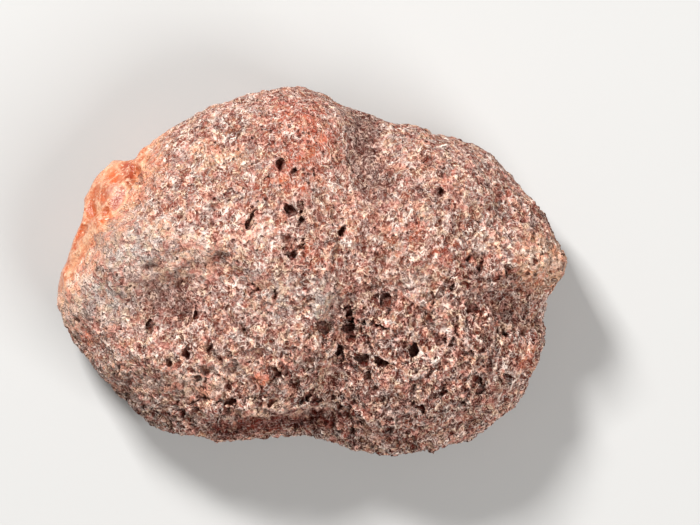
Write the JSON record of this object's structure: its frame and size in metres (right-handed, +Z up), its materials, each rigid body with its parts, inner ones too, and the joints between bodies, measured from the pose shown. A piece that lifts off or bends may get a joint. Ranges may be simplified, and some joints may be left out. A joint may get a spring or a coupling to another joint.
{
  "type": "polished agate nodule",
  "caption": "Half of a knobbly agate nodule with a rough, pitted red-brown skin, an edge of orange chalcedony bared on one side, and a flat sawn and polished face underneath.",
  "frame": {"origin": "on the sawn face, under the middle of the stone's outline", "axes": "+X along the stone towards the end with the round knob, +Y towards its red back lobe, +Z up from the sawn face to the domed rough skin"},
  "size_m": [0.055, 0.0396, 0.02],
  "materials": {
    "agate_skin": "matte"
  },
  "bodies": {
    "root": {"agate": "agate_skin"}
  },
  "joints": []
}
